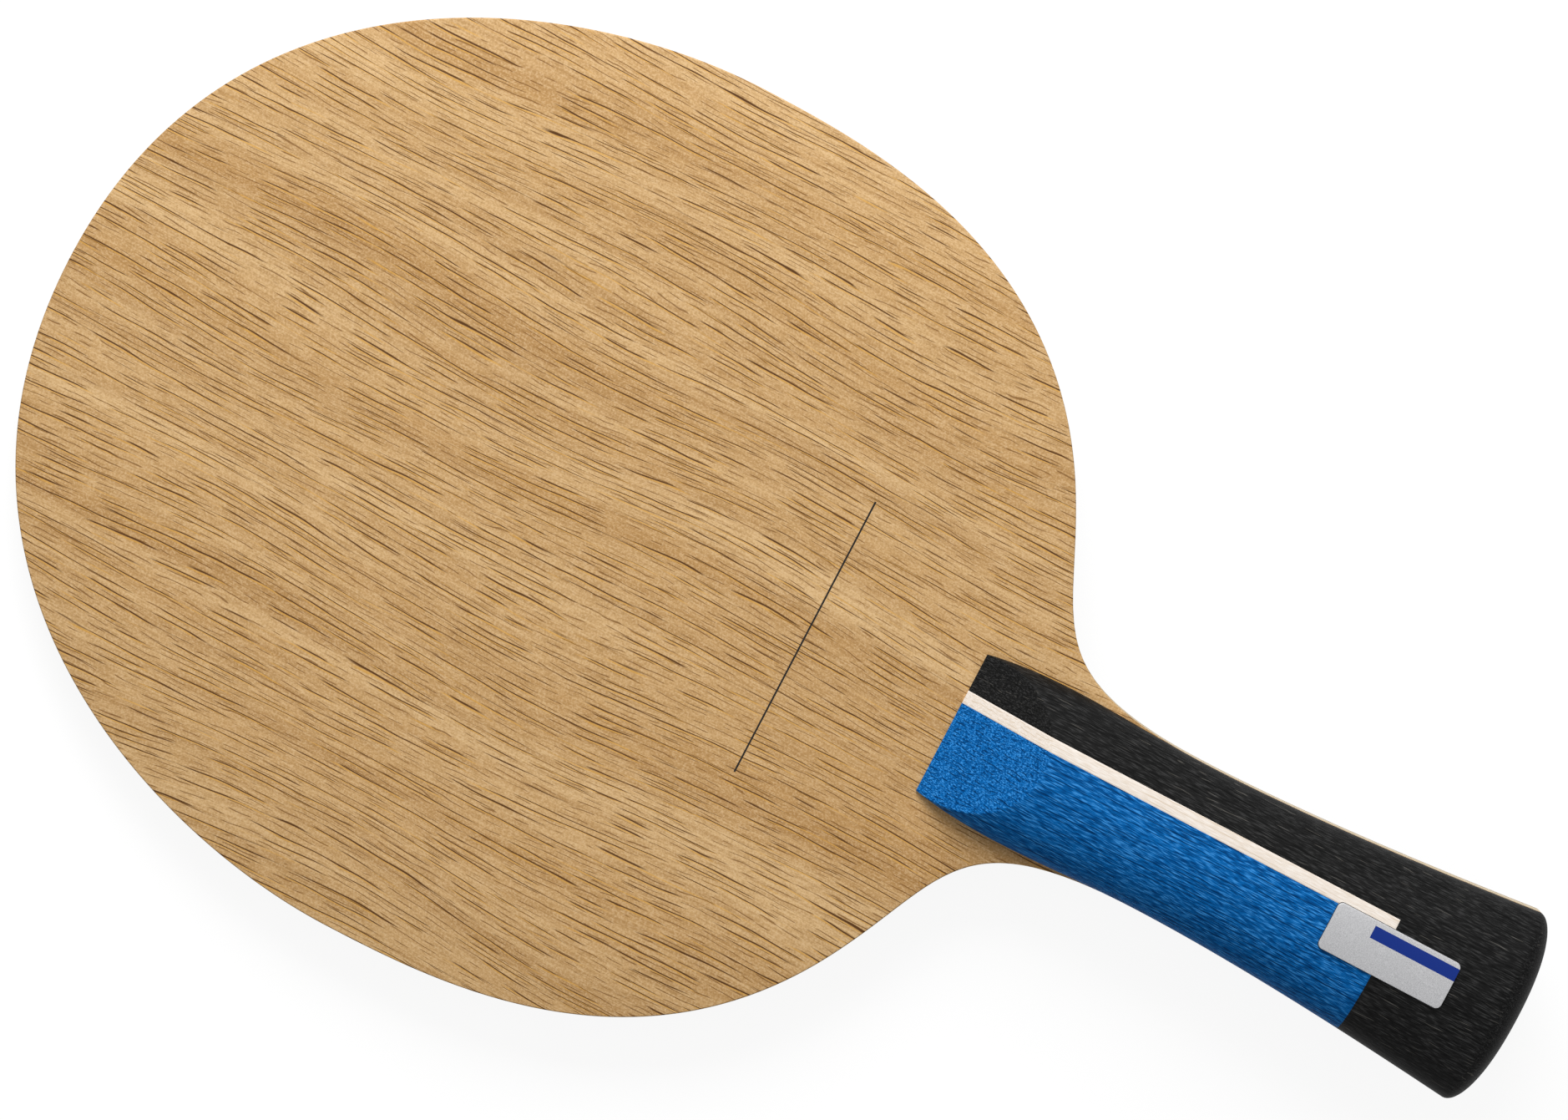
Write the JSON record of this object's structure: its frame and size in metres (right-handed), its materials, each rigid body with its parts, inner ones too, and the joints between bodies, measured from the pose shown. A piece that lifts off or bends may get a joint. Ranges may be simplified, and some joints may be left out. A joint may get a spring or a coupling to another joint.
{
  "type": "table tennis paddle",
  "caption": "Bare table tennis blade: flat rounded head of pressed plies, and a flared handle of dyed wood scales with a blank metal plate.",
  "frame": {"origin": "middle of the blade: half its length, half its width, half the core ply's thickness", "axes": "+X across the blade towards the dark side strip, +Y along the handle towards the tip of the head, +Z out of the front face, the side with the plate"},
  "size_m": [0.15, 0.259, 0.0251],
  "materials": {
    "face_veneer": "fine-sanded golden tan hardwood veneer, bare",
    "inner_veneer": "hardwood veneer, sawn edge",
    "fibre_weave": "woven fibre in resin, sawn edge",
    "core_wood": "light soft core wood, sawn edge",
    "blue_dyed_wood": "blue dyed wood, fine sanded",
    "pale_wood": "pale wood, fine sanded",
    "black_dyed_wood": "black dyed wood, fine sanded",
    "plate_metal": "satin, with a printed blue band",
    "adhesive_film": "thin dark foam adhesive"
  },
  "bodies": {
    "root": {"face_veneer_front": "face_veneer", "face_veneer_back": "face_veneer", "inner_veneer_front": "inner_veneer", "inner_veneer_back": "inner_veneer", "fibre_ply_front": "fibre_weave", "fibre_ply_back": "fibre_weave", "core_ply": "core_wood", "colour_block_front": "blue_dyed_wood", "colour_block_back": "blue_dyed_wood", "stripe_front": "pale_wood", "stripe_back": "pale_wood", "side_strip_front": "black_dyed_wood", "side_strip_back": "black_dyed_wood", "butt_block_front": "black_dyed_wood", "butt_block_back": "black_dyed_wood", "blank_plate": "plate_metal", "plate_film": "adhesive_film"}
  },
  "joints": []
}
